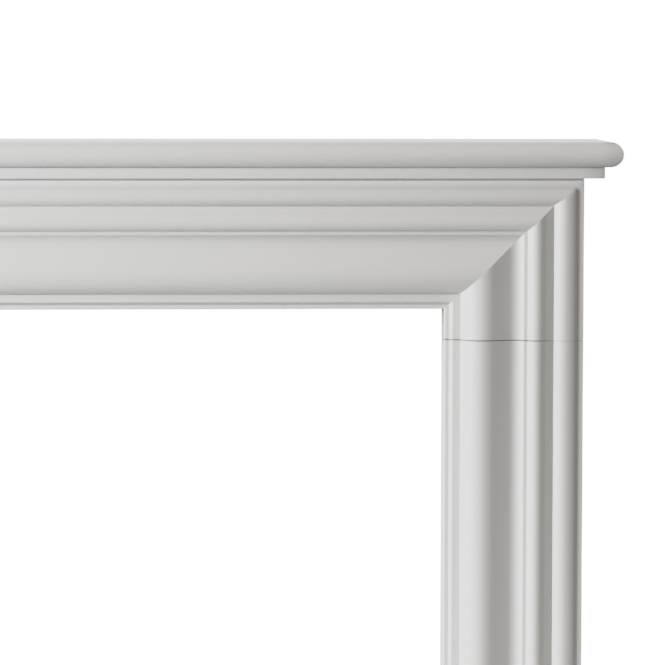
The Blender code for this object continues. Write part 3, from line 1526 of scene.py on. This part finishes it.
@dataclass(frozen=True)
class Studio:
    """Plain pale floor and plain soft light."""

    floor_radius: float = 1.1
    floor_sides: int = 96
    floor_drop: float = 0.0004
    floor_colour: Colour = (0.50, 0.50, 0.49)
    floor_roughness: float = 0.7
    backdrop_strength: float = 2.5
    ambient_colour: Colour = (1.0, 0.943, 0.868)
    from_below: float = 0.02
    from_level: float = 0.36
    from_above: float = 0.52
    below_stop: float = 0.38
    level_stop: float = 0.52
    from_behind: float = 0.90
    behind_start: float = 0.55
    behind_full: float = 0.95
    highlight_curve: tuple[tuple[float, float], ...] = (
        (0.0, 0.0),
        (0.45, 0.45),
        (0.62, 0.605),
        (0.80, 0.695),
        (1.0, 0.745),
    )
    lights: tuple[SoftLight, ...] = (
        SoftLight("key", (-3.2, -1.88, 1.24), (0.3, 0.0, 0.95), 1.2, 163.0, (0.965, 0.980, 1.0)),
        SoftLight("rim", (-1.8, 2.2, 2.80), (0.0, 0.0, 1.13), 1.2, 72.0),
    )

    def build(self) -> None:
        """Make the floor, the lights and the world."""
        self._floor()
        self._world()
        for light in self.lights:
            light.build()
        view = bpy.context.scene.view_settings
        view.view_transform = "Standard"
        view.look = "None"
        self._soften_highlights(view)

    def _soften_highlights(self, view: bpy.types.ColorManagedViewSettings) -> None:
        """Give the picture a soft shoulder, as film has, by the combined curve.

        Args:
            view: the scene's view settings.
        """
        view.use_curve_mapping = True
        mapping = view.curve_mapping
        mapping.extend = "EXTRAPOLATED"
        points = mapping.curves[3].points
        points[0].location = self.highlight_curve[0]
        points[1].location = self.highlight_curve[-1]
        for place in self.highlight_curve[1:-1]:
            points.new(*place)
        mapping.update()

    def _floor(self) -> None:
        """Make a round pale floor just under the feet."""
        shape = bmesh.new()
        bmesh.ops.create_circle(shape, cap_ends=True, segments=self.floor_sides, radius=self.floor_radius)
        mesh = bpy.data.meshes.new("floor")
        shape.to_mesh(mesh)
        shape.free()
        material = bpy.data.materials.new("pale_floor")
        material.use_nodes = True
        shader = material.node_tree.nodes["Principled BSDF"]
        shader.inputs["Base Color"].default_value = (*self.floor_colour, 1.0)
        shader.inputs["Roughness"].default_value = self.floor_roughness
        mesh.materials.append(material)
        floor = bpy.data.objects.new("floor", mesh)
        floor.location.z = -self.floor_drop
        bpy.context.scene.collection.objects.link(floor)

    def _sky(self, nodes: Nodes) -> Socket:
        """Colour the light from all round, weaker from below and bright from behind.

        Args:
            nodes: the world's nodes.

        Returns:
            The colour for a direction.
        """
        direction = nodes.split(nodes.add("TexCoord").outputs["Generated"])
        ramp = nodes.add("ValToRGB")
        for stop in (self.below_stop, self.level_stop):
            ramp.color_ramp.elements.new(stop)
        levels = (self.from_below, self.from_below, self.from_level, self.from_above)
        for stop, brightness in zip(ramp.color_ramp.elements, levels):
            stop.color = tuple(brightness * part for part in self.ambient_colour) + (1.0,)
        nodes.join(nodes.fit(direction["Z"], -1.0, 1.0), ramp.inputs["Fac"])
        behind = nodes.fit(direction["Y"], self.behind_start, self.behind_full)
        return nodes.blend(behind, ramp.outputs["Color"], (self.from_behind,) * 3)

    def _world(self) -> None:
        """Make the world, which is plain white to the camera and otherwise the soft light."""
        world = bpy.data.worlds.new("studio")
        world.use_nodes = True
        bpy.context.scene.world = world
        nodes = Nodes(world.node_tree)
        light = world.node_tree.nodes["Background"]
        light.inputs["Strength"].default_value = 1.0
        nodes.join(self._sky(nodes), light.inputs["Color"])
        white = nodes.add("Background")
        white.inputs["Color"].default_value = (1.0, 1.0, 1.0, 1.0)
        white.inputs["Strength"].default_value = self.backdrop_strength
        seen = nodes.add("MixShader")
        nodes.join(nodes.add("LightPath").outputs["Is Camera Ray"], seen.inputs["Fac"])
        nodes.join(light.outputs["Background"], seen.inputs[1])
        nodes.join(white.outputs["Background"], seen.inputs[2])
        nodes.join(seen.outputs["Shader"], world.node_tree.nodes["World Output"].inputs["Surface"])


def main() -> None:
    """Build every piece in order, then the studio."""
    logging.basicConfig(level=logging.INFO, format="%(name)s %(message)s")
    PhotoCamera().build()
    sizes = SurroundSizes()
    section = MouldingSection(sizes).build()
    log.info("section: %d points", len(section.points))
    run = MouldingRun(sizes, section)
    moulding = MOULDING_FINISH.material()
    total = 0
    for side in Side:
        total += Leg(run, side).build(moulding)
    total += Header(run).build(moulding)
    total += ShelfBed(sizes, section.front()[-1][1]).build(BED_FINISH.material())
    total += MantelShelf(sizes).build(SHELF_FINISH.material())
    Studio().build()
    log.info("all pieces: %d triangles", total)


if __name__ == "__main__":
    main()
